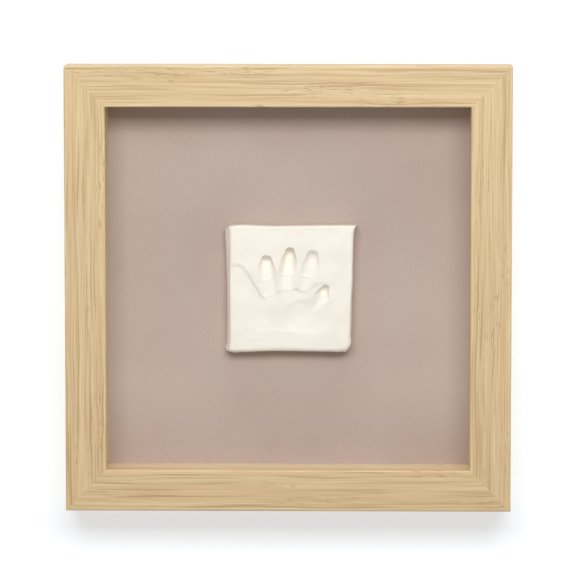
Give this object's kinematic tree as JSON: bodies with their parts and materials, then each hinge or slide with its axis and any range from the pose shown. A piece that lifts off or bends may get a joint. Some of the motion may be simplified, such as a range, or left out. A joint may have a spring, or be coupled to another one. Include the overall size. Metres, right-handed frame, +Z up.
{
  "type": "baby handprint frame",
  "caption": "Deep square wooden frame with mitred rails, showing a clay tablet with a baby's hand imprint on a plain mount board.",
  "frame": {"origin": "middle of the bottom rail's underside, where the frame stands", "axes": "+X to the right seen from the front, front faces -Y, +Z up"},
  "size_m": [0.25, 0.0365, 0.25],
  "materials": {
    "wood_foil": "satin oak-grain foil on fibreboard",
    "spacer_foil": "satin oak-grain foil on fibreboard",
    "mount_card": "matt, uncoated",
    "clay": "matt, air-dried, unglazed",
    "foam_tape": "closed-cell foam",
    "hardboard": "bare hardboard",
    "nail_steel": "plain rolled strip",
    "screw_steel": "zinc plated",
    "button_steel": "zinc plated, stamped",
    "hanger_steel": "nickel plated"
  },
  "bodies": {
    "frame": {"top_rail": "wood_foil", "bottom_rail": "wood_foil", "left_rail": "wood_foil", "right_rail": "wood_foil", "top_spacer": "spacer_foil", "bottom_spacer": "spacer_foil", "left_spacer": "spacer_foil", "right_spacer": "spacer_foil", "mount_board": "mount_card", "clay_tablet": "clay", "adhesive_pads": "foam_tape", "back_board": "hardboard", "corner_v_nails": "nail_steel", "turn_button_screws": "screw_steel", "hanger_strap": "hanger_steel", "hanger_rivets": "hanger_steel"},
    "turn_button_top_left": {"turn_button_top_left": "button_steel"},
    "turn_button_top_right": {"turn_button_top_right": "button_steel"},
    "turn_button_right_upper": {"turn_button_right_upper": "button_steel"},
    "turn_button_right_lower": {"turn_button_right_lower": "button_steel"},
    "turn_button_bottom_left": {"turn_button_bottom_left": "button_steel"},
    "turn_button_bottom_right": {"turn_button_bottom_right": "button_steel"},
    "turn_button_left_upper": {"turn_button_left_upper": "button_steel"},
    "turn_button_left_lower": {"turn_button_left_lower": "button_steel"},
    "hanger_ring": {"hanger_ring": "hanger_steel"}
  },
  "joints": [
    {"name": "turn_top_left_swivel", "type": "hinge", "parent": "frame", "child": "turn_button_top_left", "pos_m": [-0.062, 0.0165, 0.242], "axis": [0, 1, 0], "continuous": true},
    {"name": "turn_top_right_swivel", "type": "hinge", "parent": "frame", "child": "turn_button_top_right", "pos_m": [0.062, 0.0165, 0.242], "axis": [0, 1, 0], "continuous": true},
    {"name": "turn_right_upper_swivel", "type": "hinge", "parent": "frame", "child": "turn_button_right_upper", "pos_m": [0.117, 0.0165, 0.187], "axis": [0, 1, 0], "continuous": true},
    {"name": "turn_right_lower_swivel", "type": "hinge", "parent": "frame", "child": "turn_button_right_lower", "pos_m": [0.117, 0.0165, 0.063], "axis": [0, 1, 0], "continuous": true},
    {"name": "turn_bottom_left_swivel", "type": "hinge", "parent": "frame", "child": "turn_button_bottom_left", "pos_m": [-0.062, 0.0165, 0.008], "axis": [0, 1, 0], "continuous": true},
    {"name": "turn_bottom_right_swivel", "type": "hinge", "parent": "frame", "child": "turn_button_bottom_right", "pos_m": [0.062, 0.0165, 0.008], "axis": [0, 1, 0], "continuous": true},
    {"name": "turn_left_upper_swivel", "type": "hinge", "parent": "frame", "child": "turn_button_left_upper", "pos_m": [-0.117, 0.0165, 0.187], "axis": [0, 1, 0], "continuous": true},
    {"name": "turn_left_lower_swivel", "type": "hinge", "parent": "frame", "child": "turn_button_left_lower", "pos_m": [-0.117, 0.0165, 0.063], "axis": [0, 1, 0], "continuous": true},
    {"name": "ring_swing", "type": "hinge", "parent": "frame", "child": "hanger_ring", "pos_m": [0, 0.01818, 0.214], "axis": [1, 0, 0], "range_deg": [0, 177]}
  ]
}
